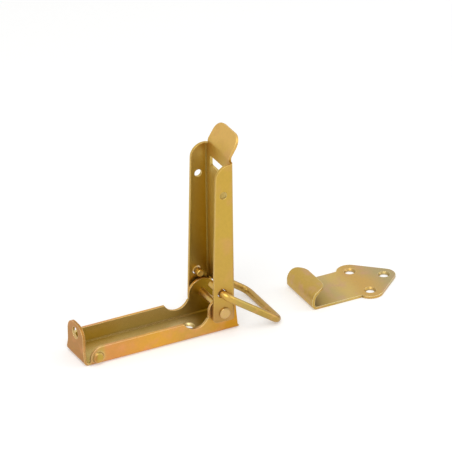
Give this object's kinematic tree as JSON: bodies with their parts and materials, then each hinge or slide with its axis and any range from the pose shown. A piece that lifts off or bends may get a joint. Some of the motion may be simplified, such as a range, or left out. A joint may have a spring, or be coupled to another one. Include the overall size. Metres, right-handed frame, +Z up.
{
  "type": "toggle latch",
  "caption": "Over-centre toggle latch of folded sheet steel with a wire bail, a padlock tab and a separate hooked catch plate.",
  "frame": {"origin": "on the mounting face, midway between the two base screw holes", "axes": "+X along the latch towards the catch plate, +Y across it, +Z up from the mounting face"},
  "size_m": [0.1892, 0.0414, 0.1128],
  "materials": {
    "base_zinc": "yellow-passivated zinc plate",
    "lever_zinc": "yellow-passivated zinc plate",
    "rivet_zinc": "yellow-passivated zinc plate",
    "bail_zinc": "yellow-passivated zinc plate",
    "catch_zinc": "yellow-passivated zinc plate"
  },
  "bodies": {
    "base": {"base_channel": "base_zinc", "pivot_rivet": "rivet_zinc", "catch_plate": "catch_zinc"},
    "lever": {"lever": "lever_zinc"},
    "bail": {"wire_bail": "bail_zinc"}
  },
  "joints": [
    {"name": "lever_hinge", "type": "hinge", "parent": "base", "child": "lever", "pos_m": [0.039, 0, 0.013], "axis": [0, 1, 0], "range_deg": [-96, 75]},
    {"name": "bail_hinge", "type": "hinge", "parent": "lever", "child": "bail", "pos_m": [0.0377, 0, 0.0248], "axis": [0, 1, 0], "range_deg": [-110, 72]}
  ]
}
